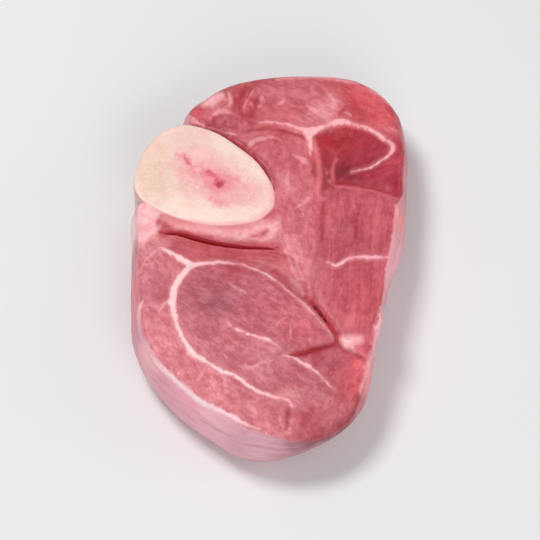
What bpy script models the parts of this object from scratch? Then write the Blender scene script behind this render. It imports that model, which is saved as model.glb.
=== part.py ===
"""Raw beef shank: one cross-cut slice of the lower leg, lying on its cut face.

The slice is a saw-cut through the leg: a ring of leg bone near one corner with
its spongy core, and the muscles that run along the leg, each one seen as a
rounded island between seams. Lengths are in millimetres up to the point where
a mesh is made. X runs across the slice, Y along it towards the bone, Z up.
"""
import math

import bmesh
import bpy
from mathutils import Vector

MM = 0.001
FLAT = 0.99
SAME_POINT = 1e-6
MERGE = 1e-5

# Driving sizes of the slice
THICKNESS = 26.0
CORE_TOP = 24.4
FIT_GAP = 0.3
CUTTER_REACH = 4.0

# Side of the slice: the skin bulges out between the two cut faces
SIDE_PROFILE = ((0.0, -2.2), (0.07, -0.7), (0.22, 0.9), (0.45, 1.9), (0.68, 1.7), (0.86, 0.8), (1.0, -0.9))

# Where the near right edge sags under its own weight: deepest at the centre, fading with distance
# from it and with depth below the cut face. Its foot tucks in below it.
SAG_CENTRE = (30.0, -74.0)
SAG_REACH = 44.0
SAG_DEPTH = 9.0
SAG_FADE = 1.6
SAG_ROOT = 1.5
TUCK = 16.0
TUCK_FADE = 1.4
TUCK_WAY = (-0.375, 0.927)

# Above the slump the lower right side draws in as well: how far, how it fades upward, and the limits
# across and along the slice between which it sets in and ends
SIDE_TUCK = 4.4
SIDE_TUCK_FADE = 0.8
SIDE_TUCK_ACROSS = (12.0, 34.0)
SIDE_TUCK_START = (-56.0, -34.0)
SIDE_TUCK_END = (-8.0, 14.0)

# Outline of the slice, counter-clockwise. Beside the bone it passes inside the bone's own outline.
SLICE_OUTLINE = (
    (46.2, 33), (45.2, 14), (43.2, 0), (40.2, -14), (37.4, -30), (34.2, -46), (30.8, -56.5), (25, -65),
    (13, -70.8), (-6, -69.2), (-22, -59.5), (-36.5, -45.5), (-45, -30), (-46.6, -13), (-46.6, 2), (-46.8, 13),
    (-46.4, 21.5), (-39, 30), (-31, 42), (-28.6, 52.6), (-29.6, 59.2), (-22.8, 66), (-14, 71.4),
    (-4, 74), (13, 75.2), (30.5, 73), (43, 63), (46.6, 48.5),
)

# The leg bone: a rounded three-cornered ring, thin on the side that faces the muscles
BONE_OUTLINE = (
    (1.8, 23.5), (-2.2, 35), (-11.2, 44.6), (-21.8, 51.6), (-33, 53.2), (-42, 46.5), (-46.6, 36),
    (-47.4, 26.5), (-38.5, 17.6), (-23, 12.1), (-8, 12.6), (-0.4, 16.8),
)
MARROW_OUTLINE = (
    (-3.4, 24.5), (-7.5, 33), (-15, 40), (-24, 44.4), (-31.4, 43), (-34.6, 35), (-30.5, 27),
    (-21, 20.6), (-9.5, 18.6),
)
BONE_TOP = 26.2
MARROW_TOP = 25.9
BONE_EDGE = 0.7
MARROW_EDGE = 0.5

# The muscles that the cut shows: height of the cut face, width of the shoulder inside its rolled
# edge (none on the thin ones) and outline
MUSCLES = {
    "eye": (26.0, 2.4, (
        (21.2, -31.6), (10.5, -18.4), (1.2, -9.2), (-10, -4.1), (-21, -3.7), (-29.4, -8.4), (-33, -19),
        (-30, -32.8), (-21.5, -42), (-7.5, -52), (7.6, -59.6), (19, -52.4), (12.4, -44.6), (9.2, -37.6),
    )),
    "outer": (25.7, 2.6, (
        (-37.6, 1.8), (-44, 0.5), (-44.8, -12), (-43.6, -28), (-35.6, -43.8), (-21.4, -57), (-6, -66.8),
        (6, -68.6), (6.6, -61.4), (-8, -53.8), (-23, -43.2), (-31.8, -33), (-34.9, -19), (-32.6, -7),
    )),
    "near_right": (25.5, 1.8, (
        (12, -38.6), (22, -35), (34.4, -34.6), (32, -46), (25.6, -60.4), (15, -67.6), (9, -66.4),
        (10.4, -60.6), (20.6, -53.4), (14.6, -45.4),
    )),
    "long": (26.3, 3.2, (
        (20.4, 25.6), (18, 9), (14.4, -6), (15.4, -17), (23.4, -30.6), (35.6, -31.6), (38.6, -12),
        (42.6, 10), (44.4, 22.2), (33, 26.6),
    )),
    "strip": (25.2, 0.0, (
        (-35.8, 5.6), (-33.4, 1.4), (-23, -1.6), (-11, -1.8), (1, -7.2), (9.6, -14.6), (13.6, -15.6),
        (12.2, -7), (7.4, 0.4), (-6, 2.2), (-17, 3.2), (-28, 6.2),
    )),
    "middle": (25.4, 1.1, (
        (3.2, 21), (2.8, 8), (7.4, 0.6), (12.4, -1.6), (16.6, 10), (18.4, 25), (16.2, 37), (11.6, 45.4),
        (2, 46.2), (-4.6, 43), (-1.4, 35),
    )),
    "arch": (25.6, 0.0, (
        (-12, 46), (-5, 45.8), (2, 47), (10.6, 46.8), (9.6, 50.6), (-2, 52), (-12.4, 50.4),
    )),
    "top": (26.1, 1.2, (
        (-20.6, 58), (-18.6, 53), (-12, 51.6), (-2, 53.2), (10, 52), (20, 55), (31, 55), (39.6, 51),
        (44, 54.6), (41, 61.4), (29.4, 69.4), (13, 71.6), (-6, 70.2), (-15.6, 66.6),
    )),
    "far_left": (25.5, 0.0, (
        (-27.4, 57.4), (-25.6, 54.6), (-21.6, 53), (-17.8, 55.6), (-18.4, 61), (-22, 63),
    )),
    "curl": (24.95, 1.4, (
        (15.4, 48.4), (17.2, 38), (20.6, 30.6), (27, 33.6), (36, 37.6), (41.4, 43.6), (37.2, 49), (25, 52.6),
    )),
    "far_right": (25.6, 0.0, (
        (23.6, 28), (33, 27.6), (44, 25), (46, 35), (45.2, 43), (38.4, 37.6), (29, 33.4),
    )),
}
MUSCLE_ROOT = 18.0
MUSCLE_EDGE = 1.3
PAD_EDGE = 0.9
SHOULDER_RISE = 0.35

# Pads of soft fat and gristle round the bone
PADS = {
    "under_bone": (25.9, (
        (3, 8), (2.2, 15), (-4, 13), (-16, 12), (-30, 14), (-34.6, 12.8), (-28, 9), (-15, 6.4), (-3, 5.2),
    )),
    "beside_bone": (25.6, (
        (-37, 13.4), (-40, 17.4), (-45.2, 21.6), (-45.6, 14), (-44.2, 4.4), (-38.6, 7.6),
    )),
    "seam_knot": (26.4, (
        (23.4, -32.2), (30, -32), (28.8, -37.6),
    )),
}

# Splits between muscles, each a centre line and how wide and deep it opens
SPLIT_TIP = 0.25
SPLITS = {
    "under_bone": (2.3, 9.0, ((-37.5, 9.8), (-32, 9.4), (-26.6, 7.6), (-16, 5), (-6, 4), (2.4, 3.8))),
    "tip_of_eye": (1.3, 5.0, ((12.8, -15.8), (17, -22), (22.6, -30.8))),
    "below_eye": (1.2, 4.0, ((22.4, -34), (15, -36.2), (7.4, -38.6))),
}


def clear_scene():
    for old in list(bpy.data.objects):
        bpy.data.objects.remove(old)


def new_collection(name):
    made = bpy.data.collections.new(name)
    bpy.context.scene.collection.children.link(made)
    return made


def principled(name, colour, roughness):
    """A plain non-metal finish with its own colour and roughness."""
    finish = bpy.data.materials.new(name)
    finish.use_nodes = True
    shader = finish.node_tree.nodes["Principled BSDF"]
    shader.inputs["Base Color"].default_value = (*colour, 1.0)
    shader.inputs["Roughness"].default_value = roughness
    shader.inputs["Metallic"].default_value = 0.0
    return finish


def rounded_slab(name, outlines, bottom, top, collection, steps=3, grow=0.0):
    """Closed smooth outlines, extruded from bottom to top; an outline inside another is a hole."""
    curve = bpy.data.curves.new(name, "CURVE")
    curve.dimensions = "2D"
    curve.fill_mode = "BOTH"
    curve.extrude = (top - bottom) / 2 * MM
    curve.resolution_u = steps
    curve.offset = grow * MM
    for outline in outlines:
        spline = curve.splines.new("BEZIER")
        spline.bezier_points.add(len(outline) - 1)
        for knot, (x, y) in zip(spline.bezier_points, outline):
            knot.co = (x * MM, y * MM, 0.0)
            knot.handle_left_type = "AUTO"
            knot.handle_right_type = "AUTO"
        spline.use_cyclic_u = True
    drawn = bpy.data.objects.new(name, curve)
    drawn.location.z = (top + bottom) / 2 * MM
    collection.objects.link(drawn)
    depsgraph = bpy.context.evaluated_depsgraph_get()
    mesh = bpy.data.meshes.new_from_object(drawn.evaluated_get(depsgraph))
    place = drawn.matrix_world.copy()
    bpy.data.objects.remove(drawn)
    mesh.transform(place)
    tidy = bmesh.new()
    tidy.from_mesh(mesh)
    bmesh.ops.remove_doubles(tidy, verts=tidy.verts, dist=SAME_POINT)
    bmesh.ops.dissolve_limit(
        tidy, angle_limit=math.radians(1), verts=[], edges=[e for e in tidy.edges if is_flat(e)]
    )
    bmesh.ops.recalc_face_normals(tidy, faces=tidy.faces)
    tidy.to_mesh(mesh)
    tidy.free()
    solid = bpy.data.objects.new(name, mesh)
    collection.objects.link(solid)
    return solid


def is_flat(edge):
    """True for an edge between two faces of the same cut face."""
    return len(edge.link_faces) == 2 and all(abs(f.normal.z) > FLAT for f in edge.link_faces)


def rim_edges(shape, height, top_only=True):
    """The edges round a slab's flat faces: the upper rim, or both rims."""
    wanted = []
    for edge in shape.edges:
        flats = [f for f in edge.link_faces if abs(f.normal.z) > FLAT]
        level = edge.verts[0].co.z
        if len(flats) == 1 and (not top_only or level > height * MM - SAME_POINT):
            wanted.append(edge)
    return wanted


def round_rim(solid, height, radius, segments=3, top_only=True):
    """Roll over the rim of a slab with a round of the given radius."""
    shape = bmesh.new()
    shape.from_mesh(solid.data)
    shape.normal_update()
    bmesh.ops.bevel(
        shape, geom=rim_edges(shape, height, top_only), offset=radius * MM, segments=segments,
        profile=0.5, affect="EDGES", clamp_overlap=False,
    )
    shape.to_mesh(solid.data)
    shape.free()


def raise_shoulder(solid, width, rise):
    """Let the flat top of a muscle swell a little inside its rolled edge."""
    shape = bmesh.new()
    shape.from_mesh(solid.data)
    top = max(shape.faces, key=lambda f: f.calc_center_median().z)
    bmesh.ops.inset_region(
        shape, faces=[top], thickness=width * MM, depth=rise * MM, use_even_offset=True, use_boundary=True
    )
    shape.to_mesh(solid.data)
    shape.free()


def belly_side(solid, height):
    """Give the straight wall of the slab the swelling side of the slice."""
    shape = bmesh.new()
    shape.from_mesh(solid.data)
    half = height * MM / 2
    upright = [e for e in shape.edges if abs(e.verts[0].co.z - e.verts[1].co.z) > half]
    bmesh.ops.subdivide_edges(shape, edges=upright, cuts=len(SIDE_PROFILE) - 2, use_grid_fill=True)
    shape.normal_update()
    levels = sorted({round(v.co.z / MM, 1) for v in shape.verts})
    moves = []
    for vert in shape.verts:
        share, bulge = SIDE_PROFILE[levels.index(round(vert.co.z / MM, 1))]
        outward = Vector((0.0, 0.0, 0.0))
        for face in vert.link_faces:
            if abs(face.normal.z) < FLAT:
                outward += face.normal
        outward.z = 0.0
        moves.append((vert, outward.normalized() * bulge * MM, share * height * MM))
    for vert, shift, level in moves:
        vert.co += shift
        vert.co.z = level
    shape.to_mesh(solid.data)
    shape.free()


def lens_outline(centre_line, width):
    """A slit round a centre line: widest in the middle, narrow at both ends."""
    line = [Vector(p) for p in centre_line]
    last = len(line) - 1
    left, right = [], []
    for i, point in enumerate(line):
        along = (line[min(i + 1, last)] - line[max(i - 1, 0)]).normalized()
        across = Vector((-along.y, along.x))
        open_share = SPLIT_TIP + (1 - SPLIT_TIP) * math.sin(math.pi * i / last)
        left.append(point + across * width / 2 * open_share)
        right.append(point - across * width / 2 * open_share)
    return [tuple(p) for p in right + left[::-1]]


def soft_step(value, limits):
    """0 below the first limit and 1 above the second, with a smooth change between them."""
    share = min(max((value - limits[0]) / (limits[1] - limits[0]), 0.0), 1.0)
    return share * share * (3 - 2 * share)


def sag(solid):
    """Lower the near right edge, where the slice slumps, and draw its foot and right side in below."""
    top = THICKNESS * MM
    for vert in solid.data.vertices:
        x, y = vert.co.x / MM, vert.co.y / MM
        near = max(0.0, 1.0 - math.hypot(x - SAG_CENTRE[0], y - SAG_CENTRE[1]) / SAG_REACH)
        height = vert.co.z / top
        below = max(0.0, 1.0 - height)
        tuck = TUCK * MM * near ** TUCK_FADE * below
        beside = soft_step(y, SIDE_TUCK_START) * (1.0 - soft_step(y, SIDE_TUCK_END))
        side_tuck = SIDE_TUCK * MM * soft_step(x, SIDE_TUCK_ACROSS) * beside * below ** SIDE_TUCK_FADE
        vert.co.x += TUCK_WAY[0] * tuck - side_tuck
        vert.co.y += TUCK_WAY[1] * tuck
        vert.co.z -= SAG_DEPTH * MM * near ** SAG_FADE * height ** SAG_ROOT


def combine(solid, collection, operation):
    """Join or cut a solid with every object of a collection in one exact Boolean."""
    step = solid.modifiers.new(operation.lower(), "BOOLEAN")
    step.operation = operation
    step.operand_type = "COLLECTION"
    step.collection = collection
    step.solver = "EXACT"
    depsgraph = bpy.context.evaluated_depsgraph_get()
    result = bpy.data.meshes.new_from_object(solid.evaluated_get(depsgraph))
    solid.modifiers.clear()
    solid.data = result


def settle_mesh(solid):
    """Merge what the Booleans left within a hundredth of a millimetre and make every face a triangle."""
    shape = bmesh.new()
    shape.from_mesh(solid.data)
    bmesh.ops.remove_doubles(shape, verts=shape.verts, dist=MERGE)
    bmesh.ops.dissolve_degenerate(shape, edges=shape.edges, dist=MERGE)
    bmesh.ops.triangulate(shape, faces=shape.faces)
    shape.to_mesh(solid.data)
    shape.free()


def build_meat(parts, cutters):
    """The body of the slice: a bellied slab with the muscles swelling out of its upper cut face."""
    meat = rounded_slab("meat", [SLICE_OUTLINE], 0.0, CORE_TOP, parts, steps=4)
    belly_side(meat, CORE_TOP)
    swellings = new_collection("swellings")
    for name, (height, shoulder, outline) in MUSCLES.items():
        muscle = rounded_slab(name, [outline], MUSCLE_ROOT, height, swellings)
        round_rim(muscle, height, MUSCLE_EDGE)
        if shoulder:
            raise_shoulder(muscle, shoulder, SHOULDER_RISE)
    for name, (height, outline) in PADS.items():
        pad = rounded_slab(name + "_pad", [outline], MUSCLE_ROOT, height, swellings)
        round_rim(pad, height, PAD_EDGE)
    combine(meat, swellings, "UNION")
    above = THICKNESS + CUTTER_REACH
    rounded_slab("bone_bay", [BONE_OUTLINE], -CUTTER_REACH, above, cutters, steps=4, grow=FIT_GAP)
    for name, (width, depth, line) in SPLITS.items():
        slit = lens_outline(line, width)
        rounded_slab("split_" + name, [slit], THICKNESS - depth, above, cutters)
    combine(meat, cutters, "DIFFERENCE")
    for swelling in list(swellings.objects):
        bpy.data.objects.remove(swelling)
    bpy.data.collections.remove(swellings)
    sag(meat)
    settle_mesh(meat)
    return meat


def build_bone(parts):
    """The ring of leg bone, sawn flat above and below."""
    bone = rounded_slab("bone", [BONE_OUTLINE, MARROW_OUTLINE], 0.0, BONE_TOP, parts, steps=4)
    round_rim(bone, BONE_TOP, BONE_EDGE, segments=2, top_only=False)
    settle_mesh(bone)
    return bone


def build_marrow(parts):
    """The spongy core and marrow that fill the ring, a hair lower than the bone."""
    marrow = rounded_slab("marrow", [MARROW_OUTLINE], 0.0, MARROW_TOP, parts, steps=4, grow=-FIT_GAP)
    round_rim(marrow, MARROW_TOP, MARROW_EDGE, segments=2, top_only=False)
    settle_mesh(marrow)
    return marrow


def centre_over_origin(solids):
    """Shift the slice sideways until the middle of its box stands over the origin."""
    corners = [v.co for solid in solids for v in solid.data.vertices]
    shift = Vector((
        -(min(c.x for c in corners) + max(c.x for c in corners)) / 2,
        -(min(c.y for c in corners) + max(c.y for c in corners)) / 2,
        0.0,
    ))
    for solid in solids:
        for vert in solid.data.vertices:
            vert.co += shift


def main():
    clear_scene()
    parts = new_collection("beef_shank_slice")
    cutters = new_collection("cutters")
    meat = build_meat(parts, cutters)
    bone = build_bone(parts)
    marrow = build_marrow(parts)
    centre_over_origin([meat, bone, marrow])
    meat.data.materials.clear()
    meat.data.materials.append(principled("red_meat", (0.55, 0.125, 0.15), 0.38))
    bone.data.materials.append(principled("cut_bone", (0.93, 0.68, 0.58), 0.5))
    marrow.data.materials.append(principled("spongy_marrow", (0.92, 0.48, 0.46), 0.5))
    for solid in (meat, bone, marrow):
        solid.data.shade_smooth()
        solid.data.set_sharp_from_angle(angle=math.radians(35))
    for cutter in cutters.objects:
        cutter.hide_render = True
        cutter.display_type = "WIRE"


main()
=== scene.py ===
import math

import bmesh
import bpy
import numpy as np
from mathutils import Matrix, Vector, noise


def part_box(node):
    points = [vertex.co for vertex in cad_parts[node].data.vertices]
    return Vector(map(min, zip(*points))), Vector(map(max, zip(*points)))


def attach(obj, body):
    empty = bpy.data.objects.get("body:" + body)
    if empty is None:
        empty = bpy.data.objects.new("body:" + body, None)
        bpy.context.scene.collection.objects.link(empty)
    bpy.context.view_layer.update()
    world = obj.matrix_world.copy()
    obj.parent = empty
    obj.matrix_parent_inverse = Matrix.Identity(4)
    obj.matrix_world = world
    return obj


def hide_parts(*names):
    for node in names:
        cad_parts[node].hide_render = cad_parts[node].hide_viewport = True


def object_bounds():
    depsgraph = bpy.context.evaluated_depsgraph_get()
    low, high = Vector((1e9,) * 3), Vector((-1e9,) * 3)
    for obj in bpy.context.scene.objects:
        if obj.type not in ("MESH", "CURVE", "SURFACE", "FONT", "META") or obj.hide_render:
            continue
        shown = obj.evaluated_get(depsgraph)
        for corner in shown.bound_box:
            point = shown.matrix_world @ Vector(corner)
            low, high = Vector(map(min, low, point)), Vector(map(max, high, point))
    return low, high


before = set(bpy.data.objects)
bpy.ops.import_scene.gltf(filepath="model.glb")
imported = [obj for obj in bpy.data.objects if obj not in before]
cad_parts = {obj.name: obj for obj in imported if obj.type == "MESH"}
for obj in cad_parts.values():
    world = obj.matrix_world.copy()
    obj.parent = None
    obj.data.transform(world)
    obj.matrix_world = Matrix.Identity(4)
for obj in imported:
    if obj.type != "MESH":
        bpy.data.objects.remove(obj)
cad_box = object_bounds()

# Bone: the ring of leg bone, sawn straight through with the meat.
# Hard cream-coloured bone, moist from the cut, with a thin film of tissue on its outer wall.
# It runs the whole thickness of the slice and shows bare on the left side.

MM = 0.001
# The slice is drawn in millimetres on its own plan, and the box of the bone tells where that plan lies
BONE_MIDDLE = (-23.07, 32.53)
bone_low, bone_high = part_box("bone")
PLAN_ORIGIN = [(bone_low[i] + bone_high[i]) / 2 / MM - BONE_MIDDLE[i] for i in (0, 1)]

BONE_VOXEL = 0.5
# The sawn face: its height, how much that wavers, and the top of the solid bone
SAWN_LEVEL = 26.04
SAWN_WAVE = 0.08
BONE_TOP = 26.2
# Heights between which the upper face, the lower face and the lapped part of the rim set in
BONE_UPPER = (24.6, 25.8)
BONE_LOWER = (1.6, 0.4)
LAPPED_RIM = (25.0, 25.45)
# How deep the outer wall is hollowed on average
WALL_HOLLOW = 0.28
# Gristle closes over the bone's edge on the near side of this stretch, which climbs towards the right
CLOSED_SIDE = (26.0, 18.0)
CLOSED_CLIMB = 0.3
CLIMB_START = -20.0
BONE_OUTLINE = (
    (1.8, 23.5), (-2.2, 35), (-11.2, 44.6), (-21.8, 51.6), (-33, 53.2), (-42, 46.5), (-46.6, 36),
    (-47.4, 26.5), (-38.5, 17.6), (-23, 12.1), (-8, 12.6), (-0.4, 16.8),
)
MARROW_OUTLINE = (
    (-3.4, 24.5), (-7.5, 33), (-15, 40), (-24, 44.4), (-31.4, 43), (-34.6, 35), (-30.5, 27),
    (-21, 20.6), (-9.5, 18.6),
)
BONE_CREAM = (0.92, 0.68, 0.585)
CORE_PINK = (0.87, 0.425, 0.42)
# Distances from the marrow between which the bone turns from pink to cream
CREAM_FADE = (-4.5, 2.8)
# Soft patches of another tone, one of them painted light: place on the plan, reach, colour and strength
BONE_PATCHES = (
    ((-39.5, 30.5), 7.0, (0.77, 0.57, 0.435), 0.8),
    ((-40.5, 40.5), 6.0, (0.86, 0.59, 0.47), 0.6),
    ((-30.5, 46.5), 5.0, (0.82, 0.50, 0.46), 0.65),
    ((-43.0, 24.0), 6.0, (0.88, 0.62, 0.52), 0.6),
    # Pale film on the bare left wall, raised to full brightness as painted light against the wall's shade
    ((-47.5, 23.5), 3.5, (1.00, 0.68, 0.66), 0.9),
    ((-33.0, 17.5), 6.5, (0.98, 0.77, 0.67), 0.8),
    ((-22.0, 15.0), 7.0, (0.99, 0.74, 0.66), 0.9),
    ((-10.0, 15.5), 6.0, (1.00, 0.76, 0.67), 0.8),
    ((-1.5, 24.0), 5.0, (0.98, 0.57, 0.545), 0.75),
    ((-7.0, 36.5), 6.0, (0.95, 0.72, 0.64), 0.7),
    ((-24.0, 48.5), 5.0, (0.90, 0.58, 0.56), 0.6),
    ((-14.0, 41.5), 6.0, (0.92, 0.72, 0.63), 0.7),
    ((-27.0, 39.5), 6.0, (0.94, 0.60, 0.55), 0.7),
    ((-21.5, 31.5), 6.0, (0.89, 0.38, 0.395), 0.6),
    ((-10.0, 25.0), 5.5, (0.88, 0.43, 0.45), 0.6),
    ((-27.0, 27.0), 4.5, (0.90, 0.54, 0.50), 0.6),
)


def smooth_plan(points, closed=True, steps=8):
    """Points along a smooth line through the given ones; extra columns, such as a width, are carried."""
    knots = np.array(points, float)
    count = len(knots)
    line = []
    for i in range(count if closed else count - 1):
        if closed:
            a, b, c, d = (knots[(i + k) % count] for k in (-1, 0, 1, 2))
        else:
            a, b, c, d = (knots[min(max(i + k, 0), count - 1)] for k in (-1, 0, 1, 2))
        for step in range(steps):
            t = step / steps
            bend = (2 * a - 5 * b + 4 * c - d) * t ** 2 + (3 * b - a - 3 * c + d) * t ** 3
            line.append(0.5 * (2 * b + (c - a) * t + bend))
    line.append(knots[0] if closed else knots[-1])
    return np.array(line)


def line_distance(x, y, line):
    """Distance beyond the edge of a line of changing width, and how far along it the nearest point lies."""
    nearest = np.full(x.shape, 1e9)
    travelled = np.zeros(x.shape)
    passed = 0.0
    for start, end in zip(line, line[1:]):
        dx, dy = end[0] - start[0], end[1] - start[1]
        along = np.clip(((x - start[0]) * dx + (y - start[1]) * dy) / max(dx * dx + dy * dy, 1e-12), 0.0, 1.0)
        away = np.hypot(x - start[0] - along * dx, y - start[1] - along * dy)
        if len(start) > 2:
            away -= (start[2] + (end[2] - start[2]) * along) / 2
        closer = away < nearest
        nearest[closer] = away[closer]
        travelled[closer] = passed + along[closer] * math.hypot(dx, dy)
        passed += math.hypot(dx, dy)
    return nearest, travelled


def plan_distance(x, y, points):
    """Signed distance to a closed smooth outline: negative inside, in millimetres."""
    ring = smooth_plan(points)
    inside = np.zeros(x.shape, bool)
    for start, end in zip(ring, ring[1:]):
        crosses = (start[1] > y) != (end[1] > y)
        slope = (end[0] - start[0]) / (end[1] - start[1] if end[1] != start[1] else 1e-9)
        inside ^= crosses & (x < slope * (y - start[1]) + start[0])
    away = line_distance(x, y, ring)[0]
    return np.where(inside, -away, away)


def outward(x, y, points, distance, step=0.2):
    """The way straight out of a closed outline at each place, read off over a short step."""
    further = np.stack([plan_distance(x + step, y, points), plan_distance(x, y + step, points)], axis=1)
    return (further - distance[:, None]) / step


def ease(value, start, end):
    """A soft step from 0 at the start to 1 at the end, which may lie on either side of it."""
    t = np.clip((value - start) / (end - start), 0.0, 1.0)
    return t * t * (3 - 2 * t)


def bump_at(x, y, centre, reach):
    """A soft round bump: 1 at its centre, fading out over the reach."""
    return np.exp(-((x - centre[0]) ** 2 + (y - centre[1]) ** 2) / reach ** 2)


def waves(places, size, seed):
    """Smooth unevenness between about -1 and 1, with lumps of the given size in millimetres."""
    shift = Vector((seed * 7.3, seed * -3.1, seed * 5.7))
    return np.array([noise.noise(Vector(p) / size + shift) for p in places])


def tinted(x, y, colour, patches):
    """Colours with soft patches of other tones laid over them."""
    for centre, reach, tint, strength in patches:
        share = (strength * bump_at(x, y, centre, reach))[:, None]
        colour = colour * (1 - share) + np.array(tint) * share
    return colour


def bone_tones(x, y, core):
    """Cream compact bone that turns pink and spongy towards the middle of the ring."""
    share = ease(core, *CREAM_FADE)[:, None]
    base = np.array(CORE_PINK) * (1 - share) + np.array(BONE_CREAM) * share
    return tinted(x, y, base, BONE_PATCHES)


def fine_copy(solid, name, voxel):
    """A copy of a solid, merged and rebuilt as an even fine mesh that can take relief."""
    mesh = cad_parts[solid].data.copy()
    merged = bmesh.new()
    merged.from_mesh(mesh)
    bmesh.ops.remove_doubles(merged, verts=merged.verts, dist=MM / 100)
    merged.to_mesh(mesh)
    merged.free()
    coarse = bpy.data.objects.new(name + "_coarse", mesh)
    bpy.context.scene.collection.objects.link(coarse)
    remesh = coarse.modifiers.new("even", "REMESH")
    remesh.mode = "VOXEL"
    remesh.voxel_size = voxel * MM
    fine = bpy.data.meshes.new_from_object(coarse.evaluated_get(bpy.context.evaluated_depsgraph_get()))
    fine.name = name
    bpy.data.objects.remove(coarse)
    fine.materials.clear()
    piece = bpy.data.objects.new(name, fine)
    bpy.context.scene.collection.objects.link(piece)
    return piece


def read_points(piece):
    """The piece's points in plan millimetres, and its normals."""
    flat = np.empty(len(piece.data.vertices) * 3)
    piece.data.vertices.foreach_get("co", flat)
    points = flat.reshape(-1, 3) / MM
    points[:, :2] -= PLAN_ORIGIN
    piece.data.vertices.foreach_get("normal", flat)
    return points, flat.reshape(-1, 3).copy()


def write_points(piece, points):
    """Put the points back in the frame, never outside the box of the solid model."""
    placed = points.copy()
    placed[:, :2] += PLAN_ORIGIN
    placed = np.clip(placed * MM, np.array(cad_box[0]), np.array(cad_box[1]))
    piece.data.vertices.foreach_set("co", placed.ravel())
    piece.data.update()


def relax(piece, rounds, strength=0.5):
    """Even out the steps that the rebuilding leaves."""
    shape = bmesh.new()
    shape.from_mesh(piece.data)
    for _ in range(rounds):
        bmesh.ops.smooth_vert(
            shape, verts=shape.verts, factor=strength, use_axis_x=True, use_axis_y=True, use_axis_z=True
        )
    shape.to_mesh(piece.data)
    shape.free()
    piece.data.update()


def paint(piece, name, values):
    """Keep one number or one colour a point for the material to read."""
    if values.ndim == 1:
        layer = piece.data.attributes.new(name, "FLOAT", "POINT")
        layer.data.foreach_set("value", values.astype(np.float32))
    else:
        layer = piece.data.attributes.new(name, "FLOAT_VECTOR", "POINT")
        layer.data.foreach_set("vector", values.astype(np.float32).ravel())


def closed_over(x, y):
    """1 where gristle closes over the bone's edge, along its near side; 0 where a dark gap stays open."""
    return ease(y - CLOSED_CLIMB * np.maximum(x - CLIMB_START, 0.0), *CLOSED_SIDE)


def sawn_level(places):
    """Height of the sawn face of bone and marrow, very slightly uneven."""
    return SAWN_LEVEL + SAWN_WAVE * waves(places * (1.0, 1.0, 0.0), 10.0, 3)


bone = fine_copy("bone", "sawn_bone", BONE_VOXEL)
relax(bone, 2)
spots, normals = read_points(bone)
x, y, z = spots.T.copy()
wall = ease(np.abs(normals[:, 2]), 0.8, 0.3)
upper = ease(z, *BONE_UPPER)
lower = ease(z, *BONE_LOWER)
core = plan_distance(x, y, MARROW_OUTLINE)
outer = -plan_distance(x, y, BONE_OUTLINE)
chips = waves(spots, 2.2, 2)
hollows = WALL_HOLLOW * (1.0 + waves(spots * (1.0, 1.0, 0.35), 7.0, 1)) + 0.1 * chips
spots[:, :2] -= normals[:, :2] * (wall * hollows * ease(core, 1.0, 3.0))[:, None]

# Where marrow or gristle laps over it the rim stands level with the sawn face, without its rounding
cut_level = sawn_level(spots)
at_core = ease(core, 1.8, 0.8)
at_gristle = ease(outer, 1.8, 0.8) * closed_over(x, y) * ease(x, -45.0, -41.0)
lapped = np.maximum(at_core, at_gristle)
spots[:, 2] += ease(z, *LAPPED_RIM) * lapped * (cut_level - z)
spots[:, 2] += upper * (1.0 - lapped) * (cut_level - BONE_TOP)
spots[:, 2] += lower * (0.06 + 0.05 * chips)
write_points(bone, spots)
paint(bone, "tone", bone_tones(x, y, core))
paint(bone, "core", core)
# The pink line along the bone's edge is wider where gristle closes over it, and missing on the bare side
bare_side = ease(x - 0.5 * y, -32.0, -46.0)
paint(bone, "outer", outer - 0.9 * closed_over(x, y) + 3.0 * bare_side)
paint(bone, "cut", np.maximum(upper, lower) * (1.0 - wall))


def node(tree, kind, sockets=None, **settings):
    """One shader node, with its settings, and with its sockets set or linked."""
    made = tree.nodes.new("ShaderNode" + kind)
    for key, value in settings.items():
        setattr(made, key, value)
    for key, value in (sockets or {}).items():
        if isinstance(value, bpy.types.NodeSocket):
            tree.links.new(value, made.inputs[key])
        else:
            made.inputs[key].default_value = value
    return made


def mixed(tree, share, under, over, mode="MIX"):
    """One colour laid over another by a share between 0 and 1."""
    made = node(tree, "Mix", data_type="RGBA", blend_type=mode)
    for index, value in ((0, share), (6, under), (7, over)):
        if isinstance(value, bpy.types.NodeSocket):
            tree.links.new(value, made.inputs[index])
        elif index == 0:
            made.inputs[index].default_value = value
        else:
            made.inputs[index].default_value = (*value, 1.0)
    return made.outputs[2]


def ramp(tree, value, start, end, at_start=0.0, at_end=1.0):
    """A soft step of a value between two limits, from one result to the other."""
    limits = {"Value": value, "From Min": start, "From Max": end, "To Min": at_start, "To Max": at_end}
    return node(tree, "MapRange", limits, interpolation_type="SMOOTHSTEP").outputs["Result"]


def sums(tree, operation, first, second):
    """Two values added, multiplied or otherwise combined."""
    return node(tree, "Math", {0: first, 1: second}, operation=operation).outputs[0]


def mottle(tree, place, size, detail=3.0, roughness=0.55, distortion=0.0):
    """Cloudy noise whose lumps are about the given size in millimetres."""
    settings = {
        "Vector": place, "Scale": 1.0 / (size * MM), "Detail": detail, "Roughness": roughness,
        "Distortion": distortion,
    }
    return node(tree, "TexNoise", settings).outputs["Fac"]


def kept(tree, name, output="Fac"):
    """A number or colour that the mesh carries at each point."""
    return node(tree, "Attribute", attribute_name=name).outputs[output]


# How far red, green and blue light spread below the surface, and the refraction of moist tissue
SCATTER_RADIUS = (1.0, 0.3, 0.2)
TISSUE_IOR = 1.4


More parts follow.
